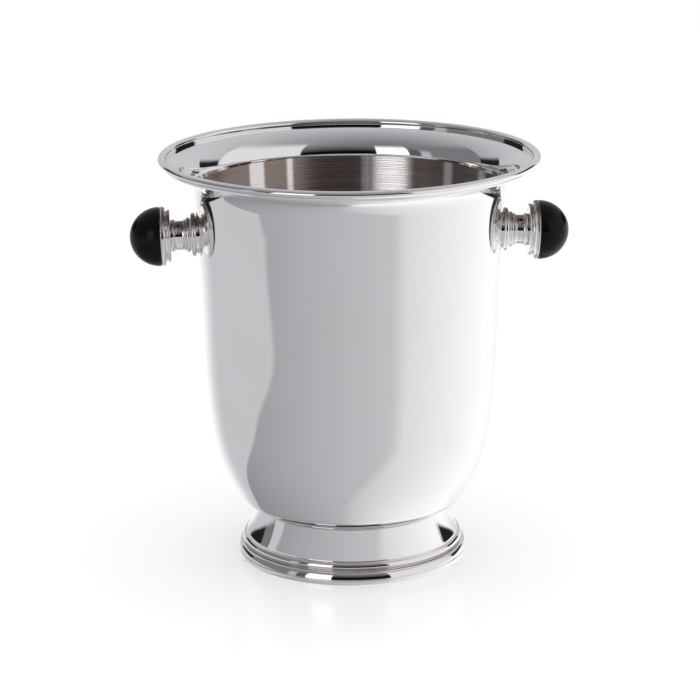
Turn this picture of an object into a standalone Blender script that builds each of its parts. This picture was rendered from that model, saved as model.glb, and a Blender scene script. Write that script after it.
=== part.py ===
"""Champagne bucket: a spun silver-plated brass shell on a spun foot, with two knob handles.

Every round piece is one closed outline, turned about its own axis. Metres, +Z up; the origin is
the middle of the foot's underside, and the two knobs point along +X and -X.
"""

import math

import bmesh
import bpy
from mathutils import Matrix

MM = 0.001
GAP = 0.3 * MM                     # left between pieces that touch on the real bucket

# Driving dimensions of the bucket
RIM_RADIUS = 105.0 * MM            # outside of the bead round the mouth
RIM_TOP = 228.5 * MM               # overall height
WALL = 1.5 * MM                    # thickness of the spun brass
LIP_RADIUS = 100.0 * MM            # where the flared lip turns level and the bead begins
LIP_ROUND = 15.7 * MM              # radius of the lip's inside round
LIP_TOP = 224.6 * MM               # upper face of the lip, under the bead
BODY_FLOOR = 30.4 * MM             # underside of the body
BODY_FLOOR_RADIUS = 52.0 * MM

# Driving dimensions of the foot
FOOT_TOP = 28.1 * MM
FOOT_NECK_RADIUS = 53.0 * MM
FOOT_STEP_RADIUS = 59.6 * MM       # where the foot's hollow sweep meets its quarter round
FOOT_STEP_HEIGHT = 11.8 * MM
FOOT_EDGE_RADIUS = 62.3 * MM
FOOT_EDGE_HEIGHT = 9.0 * MM
BASE_RING_TOP = 6.9 * MM
BASE_RING_RADIUS = 65.0 * MM
BASE_RING_BORE = 59.3 * MM
COLLAR_RADIUS = 55.3 * MM

# Driving dimensions of one handle: lengths run outwards along its own axis from the body's wall
HANDLE_HEIGHT = 184.0 * MM
HANDLE_DROOP = math.radians(2.0)   # the knobs stand square to the wall, which leans outwards
WALL_RADIUS_AT_HANDLE = 83.9 * MM
BORE_RADIUS = 2.65 * MM
STUD_RADIUS = BORE_RADIUS - GAP
BOSS_FACE = 3.8 * MM
BOSS_RADIUS = 12.1 * MM
BOSS_BORE_BOTTOM = 0.6 * MM
STEM_FACE = 14.4 * MM
NECK_RADIUS = 7.6 * MM
FERRULE_FACE = 20.2 * MM
KNOB_RADIUS = 16.4 * MM
TRIM_THICKNESS = 0.6 * MM
KNOB_LENGTH = 16.2 * MM
INSERT_RADIUS = 4.5 * MM
INSERT_LENGTH = 10.4 * MM
STUD_START = 0.9 * MM
STUD_END = 30.5 * MM

BUCKET_SEGMENTS = 48
HANDLE_SEGMENTS = 20


def clear_scene():
    for obj in list(bpy.data.objects):
        bpy.data.objects.remove(obj, do_unlink=True)


def material(name, colour, roughness, metallic):
    finish = bpy.data.materials.new(name)
    finish.use_nodes = True
    shader = finish.node_tree.nodes["Principled BSDF"]
    shader.inputs["Base Color"].default_value = (*colour, 1.0)
    shader.inputs["Roughness"].default_value = roughness
    shader.inputs["Metallic"].default_value = metallic
    return finish


def arc(centre, radii, start, end, steps):
    """Points on an ellipse's arc in the (radius, height) plane, both ends included."""
    points = []
    for step in range(steps + 1):
        angle = math.radians(start + (end - start) * step / steps)
        radius = centre[0] + radii[0] * math.cos(angle)
        height = centre[1] + radii[1] * math.sin(angle)
        points.append((radius, height))
    return points


def curve_through(knots, steps):
    """A smooth curve through the knots, with the given number of steps between each two."""
    points = []
    last = len(knots) - 1
    for index in range(last):
        before = knots[max(index - 1, 0)]
        start = knots[index]
        end = knots[index + 1]
        after = knots[min(index + 2, last)]
        for step in range(steps):
            t = step / steps
            point = []
            for a, b, c, d in zip(before, start, end, after):
                bend = 2 * a - 5 * b + 4 * c - d
                twist = 3 * (b - c) + d - a
                point.append(b + 0.5 * t * (c - a + t * (bend + t * twist)))
            points.append(tuple(point))
    points.append(knots[last])
    return points


def offset(points, distance):
    """The line moved sideways: a positive distance is to the left of its direction."""
    moved = []
    last = len(points) - 1
    for index, (radius, height) in enumerate(points):
        before = points[max(index - 1, 0)]
        after = points[min(index + 1, last)]
        along = (after[0] - before[0], after[1] - before[1])
        length = math.hypot(*along)
        moved.append((radius - along[1] / length * distance, height + along[0] / length * distance))
    return moved


def turned(name, outline, finish, segments, sharp=35.0):
    """Turn a closed outline about the Z axis; points at radius 0 close the piece on its axis."""
    mesh = bpy.data.meshes.new(name)
    bm = bmesh.new()
    verts = [bm.verts.new((radius, 0.0, height)) for radius, height in outline]
    edges = []
    for index, vert in enumerate(verts):
        following = verts[(index + 1) % len(verts)]
        on_axis = vert.co.x < 1e-9 and following.co.x < 1e-9
        if not on_axis:
            edges.append(bm.edges.new((vert, following)))
    bmesh.ops.spin(bm, geom=verts + edges, cent=(0, 0, 0), axis=(0, 0, 1), angle=math.tau,
                   steps=segments, use_merge=True)
    bmesh.ops.remove_doubles(bm, verts=bm.verts, dist=1e-6)
    bmesh.ops.recalc_face_normals(bm, faces=bm.faces)
    bm.to_mesh(mesh)
    bm.free()
    mesh.shade_smooth()
    mesh.set_sharp_from_angle(angle=math.radians(sharp))
    if finish:
        mesh.materials.append(finish)
    obj = bpy.data.objects.new(name, mesh)
    bpy.context.scene.collection.objects.link(obj)
    return obj


def wall_line():
    """The outside of the body, from its floor up to where the lip begins to flare."""
    knots = [(52.0, 30.4), (57.0, 31.2), (60.6, 32.2), (63.0, 34.0), (65.0, 37.2), (67.6, 42.3),
             (70.8, 49.3), (74.3, 59.2), (77.0, 71.0), (79.0, 86.0), (80.6, 105.0), (81.7, 135.0),
             (82.9, 165.0), (84.9, 198.0)]
    line = curve_through([(radius * MM, height * MM) for radius, height in knots], 2)
    flare = LIP_ROUND - WALL
    line += arc((LIP_RADIUS, LIP_TOP - LIP_ROUND), (flare, flare), 180.0, 90.0, 7)
    return line


def make_shell(silver):
    """The spun shell: floor, egg-shaped body and flared lip are one skin of metal."""
    outside = wall_line()
    outside.append((LIP_RADIUS + 2.3 * MM, LIP_TOP - WALL))
    inside = offset(outside, WALL)
    outside.insert(0, (0.0, BODY_FLOOR))
    inside[0] = (BODY_FLOOR_RADIUS, BODY_FLOOR + WALL)
    inside[-1] = (outside[-1][0], LIP_TOP)
    inside.insert(0, (0.0, BODY_FLOOR + WALL))
    return turned("bucket_shell", outside + inside[::-1], silver, BUCKET_SEGMENTS)


def make_rim_bead(silver):
    """Drawn wire with a rebate on its underside, soldered over the edge of the lip."""
    rebate = LIP_RADIUS + 2.6 * MM
    middle = (RIM_RADIUS - 2.35 * MM, RIM_TOP - 2.1 * MM)
    outline = [(LIP_RADIUS + 0.4 * MM, LIP_TOP + GAP), (rebate, LIP_TOP + GAP)]
    outline.append((rebate, LIP_TOP - 0.4 * MM))
    outline += arc(middle, (2.35 * MM, 2.1 * MM), -70.0, 190.0, 11)
    return turned("rim_bead", outline, silver, BUCKET_SEGMENTS)


def make_collar(silver):
    """Thin ring that hides the joint between body and foot."""
    low = FOOT_TOP + GAP
    high = BODY_FLOOR - GAP
    middle = (low + high) / 2
    half = (high - low) / 2
    outline = [(FOOT_NECK_RADIUS - WALL, high), (FOOT_NECK_RADIUS - WALL, low)]
    outline += arc((COLLAR_RADIUS - half, middle), (half, half), -90.0, 90.0, 4)
    return turned("neck_collar", outline, silver, BUCKET_SEGMENTS)


def make_foot(silver):
    """Hollow spun foot: a sweep out from the neck, a quarter round and a scotia."""
    sweep = [(FOOT_NECK_RADIUS, FOOT_TOP), (54.1 * MM, 24.4 * MM), (55.5 * MM, 20.4 * MM),
             (57.4 * MM, 16.2 * MM), (FOOT_STEP_RADIUS, FOOT_STEP_HEIGHT + 0.6 * MM)]
    outside = curve_through(sweep, 2)
    outside.append((FOOT_STEP_RADIUS + 0.1 * MM, FOOT_STEP_HEIGHT))
    round_size = (FOOT_EDGE_RADIUS - FOOT_STEP_RADIUS, FOOT_STEP_HEIGHT - FOOT_EDGE_HEIGHT)
    outside += arc((FOOT_STEP_RADIUS, FOOT_EDGE_HEIGHT), round_size, 75.0, 0.0, 4)
    outside += [(61.5 * MM, 8.7 * MM), (61.9 * MM, 8.2 * MM), (61.6 * MM, BASE_RING_TOP + GAP)]
    inside = offset(sweep, -WALL)
    inside = [(point[0], min(point[1], FOOT_TOP)) for point in inside]
    inside[0] = (FOOT_NECK_RADIUS - WALL, FOOT_TOP)
    inside.append((BASE_RING_BORE + 0.1 * MM, BASE_RING_TOP + GAP))
    return turned("foot", outside + inside[::-1], silver, BUCKET_SEGMENTS)


def make_base_ring(silver):
    """Cast ring under the foot: a torus over a plain plinth, which stands on the table."""
    torus_radii = (2.6 * MM, 2.7 * MM)
    torus_centre = (BASE_RING_RADIUS - torus_radii[0], 4.2 * MM)
    outline = [(BASE_RING_BORE, 0.0), (63.8 * MM, 0.0), (64.6 * MM, 0.5 * MM), (64.8 * MM, 3.1 * MM)]
    outline += [(64.3 * MM, 3.5 * MM)] + arc(torus_centre, torus_radii, -10.0, 80.0, 6)
    outline += [(62.0 * MM, BASE_RING_TOP), (BASE_RING_BORE, BASE_RING_TOP)]
    return turned("foot_base_ring", outline, silver, BUCKET_SEGMENTS)


def make_wall_cutter():
    """The body's wall, a gap thicker, which cuts the saddle in the back of each boss."""
    above_floor = [point for point in wall_line() if 0.15 < point[1] < 0.21]
    outside = offset(above_floor, -GAP)
    outline = [(0.0, outside[0][1])] + outside + [(0.0, outside[-1][1])]
    cutter = turned("wall_cutter", outline, None, BUCKET_SEGMENTS)
    cutter.hide_render = True
    cutter.display_type = "WIRE"
    return cutter


def boss_outline():
    """Button brazed to the wall: a tapped blind hole takes the stud."""
    ring = arc((BOSS_RADIUS - 1.6 * MM, 2.2 * MM), (1.6 * MM, 1.4 * MM), -85.0, 75.0, 5)
    outline = [(0.0, -2.5 * MM), (10.0 * MM, -2.5 * MM), (10.0 * MM, 0.8 * MM)] + ring
    outline += [(9.4 * MM, BOSS_FACE), (BORE_RADIUS, BOSS_FACE)]
    outline += [(BORE_RADIUS, BOSS_BORE_BOTTOM), (0.0, BOSS_BORE_BOTTOM)]
    return outline


def stem_outline():
    """Turned baluster: a bead, a waisted neck with a small collar at each end."""
    back = BOSS_FACE + GAP
    outline = [(BORE_RADIUS, back), (8.8 * MM, back)]
    outline += arc((8.6 * MM, 5.2 * MM), (1.2 * MM, 1.05 * MM), -75.0, 75.0, 4)
    outline += [(8.2 * MM, 6.5 * MM), (8.7 * MM, 6.8 * MM), (8.7 * MM, 7.2 * MM)]
    outline += [(7.8 * MM, 7.7 * MM), (NECK_RADIUS, 10.0 * MM), (7.8 * MM, 12.4 * MM)]
    outline += [(8.6 * MM, 12.9 * MM), (8.8 * MM, 13.5 * MM), (8.8 * MM, STEM_FACE)]
    outline.append((BORE_RADIUS, STEM_FACE))
    return outline


def ferrule_outline():
    """Spun cup behind the knob: a small bead, a groove and a rounded shoulder."""
    back = STEM_FACE + GAP
    outline = [(BORE_RADIUS, back), (9.2 * MM, back), (10.2 * MM, 15.1 * MM)]
    outline += arc((12.7 * MM, 16.1 * MM), (0.8 * MM, 0.9 * MM), -90.0, 60.0, 4)
    outline.append((12.8 * MM, 17.2 * MM))
    outline += arc((12.9 * MM, 19.6 * MM), (KNOB_RADIUS - 12.9 * MM, 2.2 * MM), -70.0, 0.0, 4)
    outline += [(KNOB_RADIUS, FERRULE_FACE), (BORE_RADIUS, FERRULE_FACE)]
    return outline


def trim_outline():
    """Thin bright washer between the ferrule and the knob."""
    back = FERRULE_FACE + GAP
    front = back + TRIM_THICKNESS
    return [(BORE_RADIUS, back), (KNOB_RADIUS, back), (KNOB_RADIUS, front), (BORE_RADIUS, front)]


def knob_outline(back):
    """Half-round black grip, moulded over a threaded insert."""
    bore = INSERT_RADIUS + GAP
    bottom = back + INSERT_LENGTH + GAP
    edge = 0.4 * MM
    outline = [(0.0, bottom), (bore, bottom), (bore, back), (KNOB_RADIUS - edge, back)]
    outline += arc((0.0, back + edge), (KNOB_RADIUS, KNOB_LENGTH - edge), 0.0, 90.0, 9)
    outline[-1] = (0.0, back + KNOB_LENGTH)
    return outline


def insert_outline(back):
    return [(BORE_RADIUS, back), (INSERT_RADIUS, back), (INSERT_RADIUS, back + INSERT_LENGTH),
            (BORE_RADIUS, back + INSERT_LENGTH)]


def stud_outline():
    return [(0.0, STUD_START), (STUD_RADIUS, STUD_START), (STUD_RADIUS, STUD_END), (0.0, STUD_END)]


def make_handle(side, turn, cutter, silver, black, brass, steel):
    """One knob handle, built along its own axis and then laid out from the wall."""
    knob_back = FERRULE_FACE + 2 * GAP + TRIM_THICKNESS
    pieces = [
        ("handle_boss", boss_outline(), silver),
        ("handle_stem", stem_outline(), silver),
        ("handle_ferrule", ferrule_outline(), silver),
        ("handle_trim_washer", trim_outline(), silver),
        ("handle_knob", knob_outline(knob_back), black),
        ("knob_insert", insert_outline(knob_back), brass),
        ("handle_stud", stud_outline(), steel),
    ]
    place = Matrix.Rotation(turn, 4, "Z")
    place @= Matrix.Translation((WALL_RADIUS_AT_HANDLE, 0.0, HANDLE_HEIGHT))
    place @= Matrix.Rotation(math.pi / 2 + HANDLE_DROOP, 4, "Y")
    for name, outline, finish in pieces:
        piece = turned(f"{name}_{side}", outline, finish, HANDLE_SEGMENTS)
        piece.matrix_world = place
        if name == "handle_boss":
            saddle = piece.modifiers.new("saddle", "BOOLEAN")
            saddle.operation = "DIFFERENCE"
            saddle.solver = "EXACT"
            saddle.object = cutter


def build():
    clear_scene()
    silver = material("silver_plate", (0.91, 0.90, 0.86), 0.08, 1.0)
    black = material("black_resin", (0.012, 0.012, 0.014), 0.25, 0.0)
    brass = material("brass", (0.80, 0.62, 0.30), 0.3, 1.0)
    steel = material("zinc_plated_steel", (0.62, 0.62, 0.60), 0.35, 1.0)
    make_shell(silver)
    make_rim_bead(silver)
    make_collar(silver)
    make_foot(silver)
    make_base_ring(silver)
    cutter = make_wall_cutter()
    make_handle("right", 0.0, cutter, silver, black, brass, steel)
    make_handle("left", math.pi, cutter, silver, black, brass, steel)


build()
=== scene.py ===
import math

import bmesh
import bpy
import numpy as np
from mathutils import Euler, Matrix, Vector


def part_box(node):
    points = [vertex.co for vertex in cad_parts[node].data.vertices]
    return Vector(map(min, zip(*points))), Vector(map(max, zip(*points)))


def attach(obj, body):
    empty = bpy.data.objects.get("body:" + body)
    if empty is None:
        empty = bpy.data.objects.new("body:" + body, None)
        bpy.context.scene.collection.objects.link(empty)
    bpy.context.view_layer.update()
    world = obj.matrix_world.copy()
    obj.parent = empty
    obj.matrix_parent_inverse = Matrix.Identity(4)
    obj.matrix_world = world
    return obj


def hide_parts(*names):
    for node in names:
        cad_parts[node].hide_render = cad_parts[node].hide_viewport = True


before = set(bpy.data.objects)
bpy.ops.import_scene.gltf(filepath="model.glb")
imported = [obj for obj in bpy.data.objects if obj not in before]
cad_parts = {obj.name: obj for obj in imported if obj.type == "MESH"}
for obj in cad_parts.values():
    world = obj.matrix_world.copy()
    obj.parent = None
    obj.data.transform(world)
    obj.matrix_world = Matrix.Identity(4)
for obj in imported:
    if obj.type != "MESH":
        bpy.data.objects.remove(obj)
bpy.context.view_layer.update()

# The shell. One disc of brass is spun over a wooden former into the floor, the egg-shaped body and
# the flared lip, then silver plated. The outside and the lip are buffed to a mirror; inside, the
# plating keeps the fine level lines that the lathe left.
MM = 0.001                         # metres in a millimetre
RIM_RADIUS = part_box("rim_bead")[1].x
RIM_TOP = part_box("rim_bead")[1].z
WALL = 1.5 * MM
LIP_RADIUS = RIM_RADIUS - 5.0 * MM
LIP_TOP = RIM_TOP - 3.9 * MM
LIP_ROUND = 15.7 * MM
FLARE_START = 176.0                # degrees round the lip's arc, where the body's wall runs into it
SATIN_TOP = LIP_TOP - LIP_ROUND - 0.4 * MM
SATIN_STEP = 0.3 * MM              # the buffed lip stands this proud of the satin wall
BODY_KNOTS = [(52.0, 30.4), (57.0, 31.2), (60.6, 32.2), (63.0, 34.0), (65.0, 37.2), (67.6, 42.3),
              (70.8, 49.3), (74.3, 59.2), (77.0, 71.0), (79.0, 86.0), (80.6, 105.0), (81.7, 135.0),
              (82.9, 165.0), (84.9, 198.0)]
BUCKET_STEPS = 288
SHARP_EDGE = math.radians(32.0)    # faces that meet at more than this keep a crisp edge
SILVER_BRIGHT = (0.965, 0.955, 0.925)
SILVER_TARNISH_AND_SHADE = (0.62, 0.52, 0.42)
SILVER_TOP_SHADE = (0.17, 0.135, 0.115)    # painted brown shade on the upper faces of the handle fittings
# The satin's colours: the painted highlight colour, and a dark brown base that is painted shade.
SATIN_HIGHLIGHT_COLOUR = (1.0, 0.97, 0.91)
SATIN_SHADE_COLOUR = (0.25, 0.192, 0.158)
SATIN_TIP = 0.33                   # added to the upward part of the satin's shading normal
# Painted highlights on the satin, upright bands of light colour: from and to in degrees round from the
# back, softness and strength.
SATIN_PAINTED_HIGHLIGHTS = ((-40.0, -33.0, 0.8, 0.85), (-22.6, -20.2, 0.8, 0.9), (7.5, 10.5, 0.8, 0.6),
                 (12.0, 27.0, 3.0, 1.0), (43.0, 47.0, 1.2, 0.9), (63.0, 68.0, 1.5, 0.9))


def arc(centre, radii, start, end, steps):
    """Points on an ellipse's arc in the (radius, height) plane, both ends included."""
    angles = np.radians(np.linspace(start, end, steps + 1))
    return [(centre[0] + radii[0] * math.cos(a), centre[1] + radii[1] * math.sin(a)) for a in angles]


def smooth_line(knots, spacing):
    """Evenly spaced points on the natural cubic spline through the knots."""
    knots = np.array(knots)
    chords = np.linalg.norm(np.diff(knots, axis=0), axis=1)
    count = len(knots)
    matrix = np.zeros((count, count))
    right = np.zeros((count, 2))
    matrix[0, 0] = matrix[-1, -1] = 1.0
    for i in range(1, count - 1):
        before, after = chords[i - 1], chords[i]
        matrix[i, i - 1:i + 2] = before, 2 * (before + after), after
        rise = (knots[i + 1] - knots[i]) / after - (knots[i] - knots[i - 1]) / before
        right[i] = 6 * rise
    bends = np.linalg.solve(matrix, right)
    points = []
    for i, chord in enumerate(chords):
        steps = max(2, round(chord / spacing))
        for t in np.arange(steps) / steps:
            ease_in = ((1 - t) ** 3 - (1 - t)) * chord ** 2 / 6
            ease_out = (t ** 3 - t) * chord ** 2 / 6
            point = (1 - t) * knots[i] + t * knots[i + 1] + ease_in * bends[i] + ease_out * bends[i + 1]
            points.append(tuple(point))
    points.append(tuple(knots[-1]))
    return points


def sideways(line, distance):
    """The line moved by a distance to its left."""
    line = np.array(line)
    along = np.gradient(line, axis=0)
    along /= np.linalg.norm(along, axis=1)[:, None]
    return [tuple(p) for p in line + distance * np.stack([-along[:, 1], along[:, 0]], axis=1)]


def turned(name, outline, steps, place=None):
    """One piece off the lathe: a closed outline in the (radius, height) plane, turned about Z."""
    work = bmesh.new()
    verts = [work.verts.new((radius, 0.0, height)) for radius, height in outline]
    edges = []
    for here, there in zip(verts, verts[1:] + verts[:1]):
        if max(here.co.x, there.co.x) > 1e-9:
            edges.append(work.edges.new((here, there)))
    bmesh.ops.spin(work, geom=verts + edges, cent=(0, 0, 0), axis=(0, 0, 1), angle=math.tau,
                   steps=steps, use_merge=True)
    bmesh.ops.remove_doubles(work, verts=work.verts, dist=1e-6)
    bmesh.ops.recalc_face_normals(work, faces=work.faces)
    mesh = bpy.data.meshes.new(name)
    work.to_mesh(mesh)
    work.free()
    mesh.shade_smooth()
    mesh.set_sharp_from_angle(angle=SHARP_EDGE)
    piece = bpy.data.objects.new(name, mesh)
    bpy.context.scene.collection.objects.link(piece)
    if place:
        mesh.transform(place)
    return piece


class Wire:
    """A socket that can be used in sums as a number can: each operator adds its Math node."""

    def __init__(self, socket):
        self.socket = socket

    @classmethod
    def node(cls, tree, kind, settings, sockets, output=0):
        """Add any node: its settings first, then the values or links of its sockets."""
        made = tree.nodes.new(kind)
        for name, value in settings.items():
            setattr(made, name, value)
        for key, value in sockets.items():
            if isinstance(value, Wire):
                tree.links.new(value.socket, made.inputs[key])
            else:
                made.inputs[key].default_value = value
        return cls(made.outputs[output])

    def also(self, output):
        """Another output of the same node."""
        return Wire(self.socket.node.outputs[output])

    def math(self, operation, *operands):
        sockets = dict(enumerate(operands))
        return Wire.node(self.socket.id_data, "ShaderNodeMath", {"operation": operation}, sockets)

    def __add__(self, other):
        return self.math("ADD", self, other)

    def __sub__(self, other):
        return self.math("SUBTRACT", self, other)

    def __rsub__(self, other):
        return self.math("SUBTRACT", other, self)

    def __mul__(self, other):
        return self.math("MULTIPLY", self, other)

    def __truediv__(self, other):
        return self.math("DIVIDE", self, other)

    __radd__ = __add__
    __rmul__ = __mul__

    def root(self):
        return self.math("SQRT", self)

    def at_least(self, low):
        return self.math("MAXIMUM", self, low)

    def at_most(self, high):
        return self.math("MINIMUM", self, high)

    def unsigned(self):
        return self.math("ABSOLUTE", self)

    def step(self, start, end):
        """0 before start, 1 after end, and a smooth rise between them."""
        settings = {"interpolation_type": "SMOOTHSTEP"}
        sockets = {"Value": self, "From Min": start, "From Max": end}
        return Wire.node(self.socket.id_data, "ShaderNodeMapRange", settings, sockets)

    def band(self, start, end, soft):
        """1 from start to end, with edges of that softness."""
        return self.step(start - soft, start + soft) * (1 - self.step(end - soft, end + soft))

    def mix(self, first, second):
        """A colour: the first where this mask is 0, the second where it is 1."""
        sockets = {0: self}
        for key, colour in ((6, first), (7, second)):
            sockets[key] = colour if isinstance(colour, Wire) else (*colour, 1.0)
        return Wire.node(self.socket.id_data, "ShaderNodeMix", {"data_type": "RGBA"}, sockets, 2)

    def noise(self, scale, detail):
        """Cloudy values round 0.5 over these coordinates."""
        sockets = {"Vector": self, "Scale": scale, "Detail": detail}
        return Wire.node(self.socket.id_data, "ShaderNodeTexNoise", {}, sockets)

    def vector(self, operation, x, y, z):
        sockets = {0: self, 1: (x, y, z)}
        return Wire.node(self.socket.id_data, "ShaderNodeVectorMath", {"operation": operation}, sockets)

    def stretched(self, x, y, z):
        """These coordinates scaled along each axis."""
        return self.vector("MULTIPLY", x, y, z)

    def shifted(self, x, y, z):
        """These coordinates moved along each axis."""
        return self.vector("ADD", x, y, z)


def finish(name, fixed):
    """A new material with the Principled shader's unvarying values: its tree, shader and place."""
    made = bpy.data.materials.new(name)
    made.use_nodes = True
    tree = made.node_tree
    shader = tree.nodes["Principled BSDF"]
    for socket, value in fixed.items():
        shader.inputs[socket].default_value = value
    place = Wire.node(tree, "ShaderNodeTexCoord", {}, {}, "Object")
    return made, tree, shader, place


def feed(tree, shader, **wires):
    """Link what varies: colour, roughness, and a height in metres for the bump."""
    sockets = {"Strength": 1.0, "Distance": 1.0, "Height": wires["height"]}
    if "normal" in wires:
        sockets["Normal"] = wires["normal"]
    bump = Wire.node(tree, "ShaderNodeBump", {}, sockets)
    tree.links.new(bump.socket, shader.inputs["Normal"])
    tree.links.new(wires["colour"].socket, shader.inputs["Base Color"])
    tree.links.new(wires["roughness"].socket, shader.inputs["Roughness"])


def rings(tree, place):
    """Coordinates whose third runs along the wall from the middle out: for marks left by turning."""
    apart = Wire.node(tree, "ShaderNodeSeparateXYZ", {}, {"Vector": place})
    x, y, z = apart, apart.also("Y"), apart.also("Z")
    away = (x * x + y * y).root()
    return Wire.node(tree, "ShaderNodeCombineXYZ", {}, {"X": x, "Y": y, "Z": away + z})


def silver_plate(name, tarnish=0.04, swell=3.6e-5, shade_on_top=0.0, even_shade=0.0, **more):
    """Buffed silver plate: hairlines from the buff, a faint swell, brown tarnish in clouds, an even
    painted shade towards the same brown, and painted brown shade on upper faces.
    """
    made, tree, shader, place = finish(name, {"Metallic": 1.0})
    clouds = place.noise(28.0, 3.0).step(0.48, 0.74)
    hairlines = rings(tree, place).stretched(14.0, 14.0, 900.0).noise(1.0, 3.0)
    normal = Wire.node(tree, "ShaderNodeNewGeometry", {}, {}, "Normal")
    upward = Wire.node(tree, "ShaderNodeSeparateXYZ", {}, {"Vector": normal}, "Z").step(0.25, 0.75)
    # Painted shade: upper faces darkened to a mottled brown.
    painted_top_shade = upward * shade_on_top * (0.55 + place.noise(330.0, 3.0))
    # Tarnish in clouds, and an even painted shade towards the same brown.
    plated = (clouds * tarnish + even_shade).mix(SILVER_BRIGHT, SILVER_TARNISH_AND_SHADE)
    handling = place.noise(420.0, 4.0).step(0.55, 0.80)
    feed(
        tree,
        shader,
        colour=painted_top_shade.mix(plated, SILVER_TOP_SHADE),
        roughness=0.022 + hairlines * 0.022 + clouds * 0.018 + handling * 0.02,
        height=place.noise(17.0, 1.0) * swell + hairlines * 2.5e-8,
        **{wire: make(tree, place) for wire, make in more.items()},
    )
    return made


def satin_plate(name):
    """Unbuffed plate inside the bucket, with level lathe lines. The long highlights that such lines draw
    are painted in as upright bands of light colour, over a dark brown base that is painted shade, and
    the shading normal is tipped up to meet the light.
    """
    made, tree, shader, place = finish(name, {"Metallic": 1.0})
    turning = rings(tree, place)
    lines = turning.stretched(4.0, 4.0, 1700.0).noise(1.0, 2.0)
    bands = turning.stretched(9.0, 9.0, 260.0).noise(1.0, 2.0)
    clouds = place.noise(22.0, 3.0).step(0.40, 0.80)
    apart = Wire.node(tree, "ShaderNodeSeparateXYZ", {}, {"Vector": place})
    x, y = apart, apart.also("Y")
    turn = x.math("ARCTAN2", x, y) * math.degrees(1)
    # Faint lathe bands, and painted highlights: upright bands of light colour at set turns round the
    # wall.
    bands_and_painted_streaks = bands * 0.12
    for start, end, softness, strength in SATIN_PAINTED_HIGHLIGHTS:
        bands_and_painted_streaks = bands_and_painted_streaks + turn.band(start, end, softness) * strength
    normal = Wire.node(tree, "ShaderNodeNewGeometry", {}, {}, "Normal")
    feed(
        tree,
        shader,
        normal=normal.shifted(0.0, 0.0, SATIN_TIP),
        colour=bands_and_painted_streaks.mix(SATIN_SHADE_COLOUR, SATIN_HIGHLIGHT_COLOUR),
        roughness=0.17 + bands * 0.07 + clouds * 0.04,
        height=lines * 1.5e-4 + bands * 0.4e-4,
    )
    return made


silver = silver_plate("buffed_silver_plate")
satin = satin_plate("satin_silver_plate")

body_line = smooth_line([(r * MM, z * MM) for r, z in BODY_KNOTS], 1.5 * MM)
flare = LIP_ROUND - WALL
body_line += arc((LIP_RADIUS, LIP_TOP - LIP_ROUND), (flare, flare), FLARE_START, 90.0, 22)
lip_edge = LIP_RADIUS + 2.3 * MM
outside = body_line + [(lip_edge, LIP_TOP - WALL)]
inside = []
for radius, height in sideways(body_line, WALL):
    recess = SATIN_STEP if height < SATIN_TOP else 0.0
    inside.append((radius + recess, height))
inside[0] = (BODY_KNOTS[0][0] * MM, BODY_KNOTS[0][1] * MM + WALL)
inside.append((lip_edge, LIP_TOP))
floor_radii = [radius * MM for radius in range(0, 50, 7)]
under = [(radius, outside[0][1]) for radius in floor_radii]
over = [(radius, inside[0][1]) for radius in floor_radii]
shell = turned("bucket_shell_plated", under + outside + inside[::-1] + over[::-1], BUCKET_STEPS)
shell.data.materials.append(silver)
shell.data.materials.append(satin)
for face in shell.data.polygons:
    outward = Vector((face.center.x, face.center.y, 0.0))
    faces_in = face.normal.dot(outward) < 0 or face.normal.z > 0.5
    if faces_in and face.center.z < SATIN_TOP:
        face.material_index = 1
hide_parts("bucket_shell")
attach(shell, "root")

# The rim bead. A round silver-plated brass wire with a rebate along its underside, soldered over
# the raw edge of the lip. It stiffens the mouth.
BEAD_RADII = (2.35 * MM, 2.1 * MM)
bead_middle = (RIM_RADIUS - BEAD_RADII[0], RIM_TOP - BEAD_RADII[1])
bead_rebate = LIP_RADIUS + 2.6 * MM
bead_seat = LIP_TOP + 0.05 * MM
bead_line = [(LIP_RADIUS + 0.4 * MM, bead_seat), (bead_rebate, bead_seat)]
bead_line.append((bead_rebate, LIP_TOP - 0.4 * MM))
bead_line += arc(bead_middle, BEAD_RADII, -70.0, 190.0, 36)
rim_bead = turned("rim_bead_plated", bead_line, BUCKET_STEPS)
rim_bead.data.materials.append(silver)
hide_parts("rim_bead")
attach(rim_bead, "root")

# The neck collar. A thin half-round ring of plated brass that hides the soldered joint between the body
# and the foot. Its plate is painted darker and browner than the plate above and below it, an even
# painted shade over tarnish in clouds.
collar_low, collar_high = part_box("neck_collar")
COLLAR_BORE = 51.5 * MM
collar_half = (collar_high.z - collar_low.z) / 2
collar_middle = (collar_high.x - collar_half, (collar_high.z + collar_low.z) / 2)
collar_line = [(COLLAR_BORE, collar_high.z), (COLLAR_BORE, collar_low.z)]
collar_line += arc(collar_middle, (collar_half, collar_half), -90.0, 90.0, 16)
collar = turned("neck_collar_plated", collar_line, BUCKET_STEPS)
# Darker, browner plate for the collar and the foot's fillets: an even painted shade over tarnish in
# clouds.
tarnish_shade_plate = silver_plate("tarnish_and_shade_silver_plate", tarnish=0.30, even_shade=0.50)
collar.data.materials.append(tarnish_shade_plate)
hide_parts("neck_collar")
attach(collar, "root")

# The foot. Spun brass, hollow and open below: a long sweep out from the neck, a quarter round, and
# two fine fillets turned at its lower edge. Soldered to the body's floor through the collar.
FOOT_KNOTS = [(53.0, 28.1), (54.1, 24.4), (55.5, 20.4), (57.4, 16.2), (59.6, 12.4)]
STEP = (59.6 * MM, 11.8 * MM)
QUARTER_ROUND = (2.4 * MM, 3.2 * MM)
FILLETS_TOP = 8.9 * MM             # below this the plate has an even painted shade over tarnish
FLANKS = (0.815, 0.825)            # sine of the angle from front or back where the sides begin
foot_low, foot_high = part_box("foot")


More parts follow.
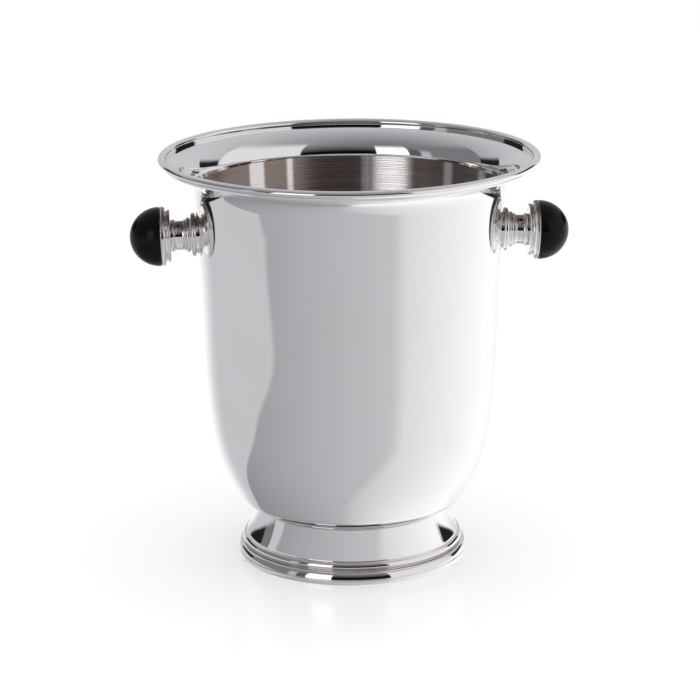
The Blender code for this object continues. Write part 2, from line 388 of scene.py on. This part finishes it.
def levelled_sweep(tree, place):
    """A shading normal laid level on the sweep's front and back, so that they mirror the table."""
    apart = Wire.node(tree, "ShaderNodeSeparateXYZ", {}, {"Vector": place})
    x, y, z = apart, apart.also("Y"), apart.also("Z")
    flank = (x.unsigned() / (x * x + y * y).root()).step(*FLANKS)
    on_sweep = z.step(STEP[1] + 0.1 * MM, STEP[1] + 0.9 * MM)
    normal = Wire.node(tree, "ShaderNodeNewGeometry", {}, {}, "Normal")
    level = normal.stretched(1.0, 1.0, 0.0).shifted(0.0, 0.0, -0.11)
    return (on_sweep * (1 - flank)).mix(normal, level)


sweep = smooth_line([(r * MM, z * MM) for r, z in FOOT_KNOTS], 0.5 * MM)
foot_line = sweep + [(STEP[0] + 0.1 * MM, STEP[1])]
foot_line += arc((STEP[0], STEP[1] - QUARTER_ROUND[1]), QUARTER_ROUND, 78.0, 6.0, 16)
foot_line += [(61.5 * MM, 8.8 * MM)]
foot_line += arc((61.6 * MM, 8.45 * MM), (0.42 * MM, 0.38 * MM), 80.0, -80.0, 8)
foot_line += [(61.4 * MM, 8.0 * MM), (61.4 * MM, 7.9 * MM)]
foot_line += arc((61.7 * MM, 7.5 * MM), (0.42 * MM, 0.38 * MM), 80.0, -60.0, 8)
foot_line += [(61.6 * MM, foot_low.z)]
foot_inside = [(r, min(z, foot_high.z)) for r, z in sideways(sweep, -WALL)]
foot_inside[0] = (sweep[0][0] - WALL, foot_high.z)
foot_inside.append((59.4 * MM, foot_low.z))
foot = turned("foot_plated", foot_line + foot_inside[::-1], BUCKET_STEPS)
foot.data.materials.append(silver_plate("foot_silver_plate", normal=levelled_sweep))
foot.data.materials.append(tarnish_shade_plate)
# Below the fillets' top the foot takes the plate with painted shade.
for face in foot.data.polygons:
    if face.center.z < FILLETS_TOP:
        face.material_index = 1
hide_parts("foot")
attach(foot, "root")

# The base ring. A cast brass ring under the foot, turned to a rounded moulding over a plain plinth,
# with a fine groove between them; the flat underside is what stands on the table.
base_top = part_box("foot_base_ring")[1].z
BASE_BORE = 59.3 * MM
base_line = [(BASE_BORE, 0.0), (63.6 * MM, 0.0)]
base_line += arc((64.1 * MM, 0.7 * MM), (0.6 * MM, 0.7 * MM), -80.0, 0.0, 5)
base_line += arc((64.4 * MM, 2.5 * MM), (0.4 * MM, 0.4 * MM), 0.0, 85.0, 5)
base_line += [(64.3 * MM, 3.0 * MM), (64.35 * MM, 3.15 * MM)]
base_line += smooth_line([(64.65 * MM, 3.2 * MM), (64.35 * MM, 4.3 * MM), (63.9 * MM, 5.4 * MM),
                          (63.2 * MM, 6.4 * MM), (62.6 * MM, 6.8 * MM)], 0.3 * MM)
base_line += [(62.0 * MM, base_top), (BASE_BORE, base_top)]
base_ring = turned("foot_base_ring_plated", base_line, BUCKET_STEPS)
base_ring.data.materials.append(silver)
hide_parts("foot_base_ring")
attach(base_ring, "root")

# The handle bosses. Plated brass buttons, turned with a rounded edge and brazed to the wall, so
# each one's back follows the round of the body; a tapped blind hole takes the stud.
HANDLE_HEIGHT = 184.0 * MM
HANDLE_DROOP = math.radians(2.0)
WALL_AT_HANDLE = 83.9 * MM
BORE = 2.65 * MM
BOSS_FACE = 3.8 * MM
BOSS_RADIUS = 12.1 * MM
BOSS_BACK = -1.2 * MM              # inside the wall, until it is moved on to it
STUD_HOLE_END = 0.9 * MM
HANDLE_STEPS = 128
SIDES = (("right", 0.0), ("left", math.pi))


def handle_place(turn):
    """From a piece's own axis, which starts at the wall, to its place on the bucket."""
    place = Matrix.Rotation(turn, 4, "Z")
    place @= Matrix.Translation((WALL_AT_HANDLE, 0.0, HANDLE_HEIGHT))
    return place @ Matrix.Rotation(math.pi / 2 + HANDLE_DROOP, 4, "Y")


def handle_pair(piece_name, node, outline, material):
    """The same turned piece for the right and the left handle."""
    pair = []
    for side, turn in SIDES:
        piece = turned(f"{piece_name}_{side}", outline, HANDLE_STEPS, handle_place(turn))
        piece.data.materials.append(material)
        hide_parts(f"{node}_{side}")
        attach(piece, "root")
        pair.append(piece)
    return pair


def seat_on_wall(piece):
    """Move the back of a boss on to the body's round wall."""
    heights = [z for r, z in body_line]
    radii = [r for r, z in body_line]
    for vert in piece.data.vertices:
        middle = math.copysign(WALL_AT_HANDLE, vert.co.x)
        if abs(vert.co.x) < abs(middle) + 0.2 * MM:
            radius = np.interp(vert.co.z, heights, radii)
            vert.co.x = math.copysign(math.sqrt(radius ** 2 - vert.co.y ** 2) + 0.02 * MM, middle)


# The handle fittings' plate: tarnish in clouds, and painted brown shade on their upper faces.
fine_silver = silver_plate("handle_silver_plate", tarnish=0.35, swell=0.9e-5, shade_on_top=1.0)
boss_line = [(r * MM, BOSS_BACK) for r in (0.0, 3.0, 6.0, 8.5, 10.4)] + [(10.5 * MM, 0.9 * MM)]
boss_line += arc((BOSS_RADIUS - 1.6 * MM, 2.3 * MM), (1.6 * MM, 1.4 * MM), -85.0, 80.0, 18)
boss_line += [(9.6 * MM, 3.5 * MM), (9.3 * MM, BOSS_FACE), (BORE, BOSS_FACE)]
boss_line += [(BORE, STUD_HOLE_END), (0.0, STUD_HOLE_END)]
for boss in handle_pair("handle_boss_plated", "handle_boss", boss_line, fine_silver):
    seat_on_wall(boss)

# The stems. Each is a turned baluster in plated brass, bored for the stud: a bead against the
# boss, a waisted neck with a fine fillet at both ends, and a flat collar under the ferrule.
stem_back = BOSS_FACE + 0.1 * MM
stem_line = [(BORE, stem_back), (8.7 * MM, stem_back)]
stem_line += arc((8.6 * MM, 5.2 * MM), (1.2 * MM, 1.1 * MM), -75.0, 75.0, 16)
stem_line += [(8.1 * MM, 6.4 * MM)]
stem_line += arc((8.4 * MM, 7.0 * MM), (0.6 * MM, 0.42 * MM), -80.0, 80.0, 8)
stem_line += smooth_line([(8.3 * MM, 7.6 * MM), (8.1 * MM, 8.2 * MM), (8.05 * MM, 10.0 * MM),
                          (8.1 * MM, 11.8 * MM), (8.3 * MM, 12.4 * MM)], 0.3 * MM)
stem_line += arc((8.6 * MM, 13.0 * MM), (0.6 * MM, 0.45 * MM), -80.0, 80.0, 8)
stem_line += [(8.5 * MM, 13.6 * MM), (8.8 * MM, 13.8 * MM), (8.8 * MM, 14.5 * MM), (BORE, 14.5 * MM)]
handle_pair("handle_stem_plated", "handle_stem", stem_line, fine_silver)

# The ferrules. Spun plated cups behind the knobs: a small bead, a groove, and a shoulder that
# rounds out to the knob's full width.
FERRULE_FACE = 19.4 * MM
KNOB_RADIUS = 16.4 * MM
ferrule_line = [(BORE, 14.6 * MM), (9.2 * MM, 14.6 * MM), (10.8 * MM, 14.7 * MM), (12.6 * MM, 14.8 * MM)]
ferrule_line += arc((13.4 * MM, 15.8 * MM), (1.1 * MM, 1.0 * MM), -90.0, 65.0, 14)
ferrule_line += [(13.7 * MM, 16.9 * MM), (13.8 * MM, 17.2 * MM)]
ferrule_line += arc((14.2 * MM, 19.1 * MM), (KNOB_RADIUS - 14.2 * MM, 1.8 * MM), -80.0, 0.0, 16)
ferrule_line += [(KNOB_RADIUS, FERRULE_FACE), (BORE, FERRULE_FACE)]
handle_pair("handle_ferrule_plated", "handle_ferrule", ferrule_line, fine_silver)

# The trim washers. Thin plated discs, pinched between ferrule and knob, that show as one bright
# line round each black grip.
washer_back = FERRULE_FACE + 0.15 * MM
washer_front = FERRULE_FACE + 0.95 * MM
washer_line = [(BORE, washer_back), (KNOB_RADIUS - 0.3 * MM, washer_back)]
washer_line += arc((KNOB_RADIUS - 0.35 * MM, (washer_back + washer_front) / 2),
                   (0.4 * MM, (washer_front - washer_back) / 2), -85.0, 85.0, 8)
washer_line += [(KNOB_RADIUS - 0.3 * MM, washer_front), (BORE, washer_front)]
handle_pair("handle_trim_washer_plated", "handle_trim_washer", washer_line, fine_silver)

# The knobs. Half-round grips moulded in black resin over the brass inserts, then buffed; use
# has dulled them a little in clouds and left faint hairlines.
KNOB_BACK = 20.45 * MM
KNOB_LENGTH = 17.15 * MM
INSERT_ROOM = (4.8 * MM, 32.1 * MM)
RESIN_BLACK = (0.0030, 0.0032, 0.0042)
RESIN_GREYED = (0.0080, 0.0082, 0.0100)


def black_resin():
    """Polished resin: flow clouds in the black, hairlines, and fine orange peel."""
    made, tree, shader, place = finish("black_resin", {"IOR": 1.5, "Specular IOR Level": 0.13})
    clouds = place.noise(90.0, 3.0).step(0.45, 0.75)
    hairlines = place.stretched(300.0, 2400.0, 2400.0).noise(1.0, 3.0).step(0.52, 0.70)
    peel = place.noise(240.0, 2.0)
    feed(
        tree,
        shader,
        colour=(clouds * 0.6 + hairlines * 0.2).mix(RESIN_BLACK, RESIN_GREYED),
        roughness=0.10 + clouds * 0.07 + hairlines * 0.05,
        height=peel * 4.0e-6 + hairlines * 4.0e-7,
    )
    return made


knob_line = [(0.0, INSERT_ROOM[1]), INSERT_ROOM, (INSERT_ROOM[0], KNOB_BACK)]
knob_line += [(KNOB_RADIUS - 0.5 * MM, KNOB_BACK)]
knob_line += arc((0.0, KNOB_BACK + 0.5 * MM), (KNOB_RADIUS, KNOB_LENGTH - 0.5 * MM), 0.0, 90.0, 40)
knob_line[-1] = (0.0, KNOB_BACK + KNOB_LENGTH)
handle_pair("handle_knob_moulded", "handle_knob", knob_line, black_resin())

# The fastenings. A threaded brass insert is moulded into each knob, and a zinc-plated steel stud
# runs from the insert through washer, ferrule and stem into the boss; both are out of sight.
BRASS_BRIGHT = (0.83, 0.64, 0.31)
BRASS_DULL = (0.55, 0.38, 0.18)
ZINC_BRIGHT = (0.66, 0.66, 0.65)
ZINC_DULL = (0.48, 0.49, 0.50)


def machined(name, bright, dull):
    """Cut metal as it left the machine: tool marks, and oxide in clouds."""
    made, tree, shader, place = finish(name, {"Metallic": 1.0})
    clouds = place.noise(300.0, 3.0)
    marks = place.stretched(2200.0, 2200.0, 90.0).noise(1.0, 2.0)
    feed(tree, shader, colour=clouds.mix(bright, dull), roughness=0.22 + clouds * 0.2,
         height=marks * 4.0e-6)
    return made


brass = machined("machined_brass", BRASS_BRIGHT, BRASS_DULL)
zinc = machined("zinc_plated_steel", ZINC_BRIGHT, ZINC_DULL)
for side, turn in SIDES:
    for node, metal in (("knob_insert", brass), ("handle_stud", zinc)):
        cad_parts[f"{node}_{side}"].data.materials.clear()
        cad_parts[f"{node}_{side}"].data.materials.append(metal)

# The table. A white, slightly glossy sheet that runs on far behind the bucket.
TABLE_SIZE = 14.0
TABLE_WHITE = (0.93, 0.93, 0.94)
TABLE_GREYED = (0.90, 0.90, 0.91)
table_mesh = bpy.data.meshes.new("white_table")
work = bmesh.new()
bmesh.ops.create_grid(work, x_segments=8, y_segments=8, size=TABLE_SIZE / 2)
work.to_mesh(table_mesh)
work.free()
table = bpy.data.objects.new("white_table", table_mesh)
bpy.context.scene.collection.objects.link(table)
table.location.z = -0.05 * MM
table.visible_glossy = False
sheet_sockets = {"Specular IOR Level": 0.25, "Emission Color": (1, 1, 1, 1), "Emission Strength": 0.20}
sheet, tree, shader, place = finish("white_table_sheet", sheet_sockets)
grain = place.noise(300.0, 2.0)
feed(tree, shader, colour=grain.mix(TABLE_WHITE, TABLE_GREYED), roughness=0.17 + grain * 0.05,
     height=grain * 1.0e-6)
table_mesh.materials.append(sheet)

# The studio. What the silver mirrors: the dark end of the room behind the camera, a narrow bright
# strip lamp left of it, a wide white screen on the right, a grey one on the left, a pale ceiling,
# and the table all round. The camera itself sees only white beyond the table. Angles are in
# degrees: side from the way to the camera round to its right, rise up from level.
CAMERA_TURN = math.radians(2.75)   # how far the camera stands to the left of square-on
world = bpy.data.worlds.new("studio")
world.use_nodes = True
bpy.context.scene.world = world
tree = world.node_tree
way = Wire.node(tree, "ShaderNodeTexCoord", {}, {}, "Generated")
apart = Wire.node(tree, "ShaderNodeSeparateXYZ", {}, {"Vector": way})
x, y, z = apart, apart.also("Y"), apart.also("Z")
across = x * math.cos(CAMERA_TURN) - y * math.sin(CAMERA_TURN)
ahead = 0 - (x * math.sin(CAMERA_TURN) + y * math.cos(CAMERA_TURN))
side = across.math("ARCTAN2", across, ahead) * math.degrees(1)
rise = z.math("ARCSINE", z) * math.degrees(1)
overhead = z.math("ARCTAN2", z, ahead) * math.degrees(1)


def cover(seen, mask, brightness):
    """What is seen once something of that brightness stands where the mask is 1."""
    return seen * (1 - mask) + mask * brightness


ceiling_cap = 0.36 - ahead * 0.22 + across * 0.09
ceiling = (0.05 + (overhead - 22) * 0.0072).at_least(0.003).at_most(ceiling_cap)
behind = side.unsigned()

# The grey screen on the left, its brighter edge, and the gap beside it.
room = cover(ceiling, side.band(-119, -57, 2.0) * (1 - rise.step(34, 50)), 0.19)
room = room + side.band(-66, -57, 1.5) * (1 - rise.step(14, 32)) * 0.28
room = cover(room, side.band(-57, -47, 1.0) * (1 - rise.step(18, 34)), 0.10)
# The strip lamp, and the white screen on the right.
room = cover(room, side.band(-47, -21, 0.7) * (1 - rise.step(24, 44)), 1.25)
room = cover(room, side.band(38, 116, 1.0) * (1 - rise.step(36, 56)), 0.74)
# The dark corners, and the backdrop behind the bucket.
room = cover(room, behind.band(118, 146, 1.0) * (1 - rise.step(14, 24)), 0.015)
room = cover(room, behind.step(144, 150) * (1 - rise.step(0, 9)), 0.5)
# The table: shaded on the left, lit on the right, with a light patch far left, and pale behind.
lit = (side - 38 + (-30 - rise).at_least(0) * 1.27).step(-8, 8)
floor = cover(0.40 + (side + 60) * 0.0016, lit, 0.71 + (side - 40) * 0.0037)
patch_edge = -62 - (-18 - rise).at_least(0) * 3.4
floor = cover(floor, 1 - (side - patch_edge).step(-3, 3), 0.56)
under_bucket = 1 - rise.step(-46, -26)
far_edge = rise.step(-13, -3)
floor = cover(floor, behind.step(128, 166), 0.95 - under_bucket * 0.5 - far_edge * 0.42)

mirrored = cover(floor, rise.step(-1.0, 3.0), room)
tint = ((1 - mirrored) * 0.75).mix((1.0, 1.0, 1.045), (1.0, 0.965, 1.10))
glossy = Wire.node(tree, "ShaderNodeLightPath", {}, {}, "Is Glossy Ray")
dome = Wire.node(tree, "ShaderNodeBackground", {}, {"Color": tint, "Strength": mirrored})
plain = Wire.node(tree, "ShaderNodeBackground", {}, {"Color": (1, 1, 1, 1), "Strength": 1.05})
shown = Wire.node(tree, "ShaderNodeMixShader", {}, {0: glossy, 1: plain, 2: dome})
tree.links.new(shown.socket, tree.nodes["World Output"].inputs["Surface"])
world.cycles.sampling_method = "NONE"

# The camera. A long lens at eye level for a seated person, a metre and a half away.
CAMERA_AWAY = 1.4643
CAMERA_HEIGHT = 0.5176
CAMERA_PITCH = math.radians(15.33)
CAMERA_AIM = math.radians(0.017)   # aimed a hair to the left of the bucket's axis
CAMERA_LENS = 139.6
CAMERA_ROLL = math.radians(-0.45)
camera_data = bpy.data.cameras.new("camera")
camera_data.sensor_width = 36.0
camera_data.lens = CAMERA_LENS
camera = bpy.data.objects.new("camera", camera_data)
bpy.context.scene.collection.objects.link(camera)
camera.location = (-CAMERA_AWAY * math.sin(CAMERA_TURN), -CAMERA_AWAY * math.cos(CAMERA_TURN),
                   CAMERA_HEIGHT)
aim = Euler((math.pi / 2 - CAMERA_PITCH, 0.0, CAMERA_AIM - CAMERA_TURN)).to_matrix()
camera.rotation_euler = (aim @ Matrix.Rotation(CAMERA_ROLL, 3, "Z")).to_euler()
bpy.context.scene.camera = camera
bpy.context.scene.view_settings.view_transform = "Standard"
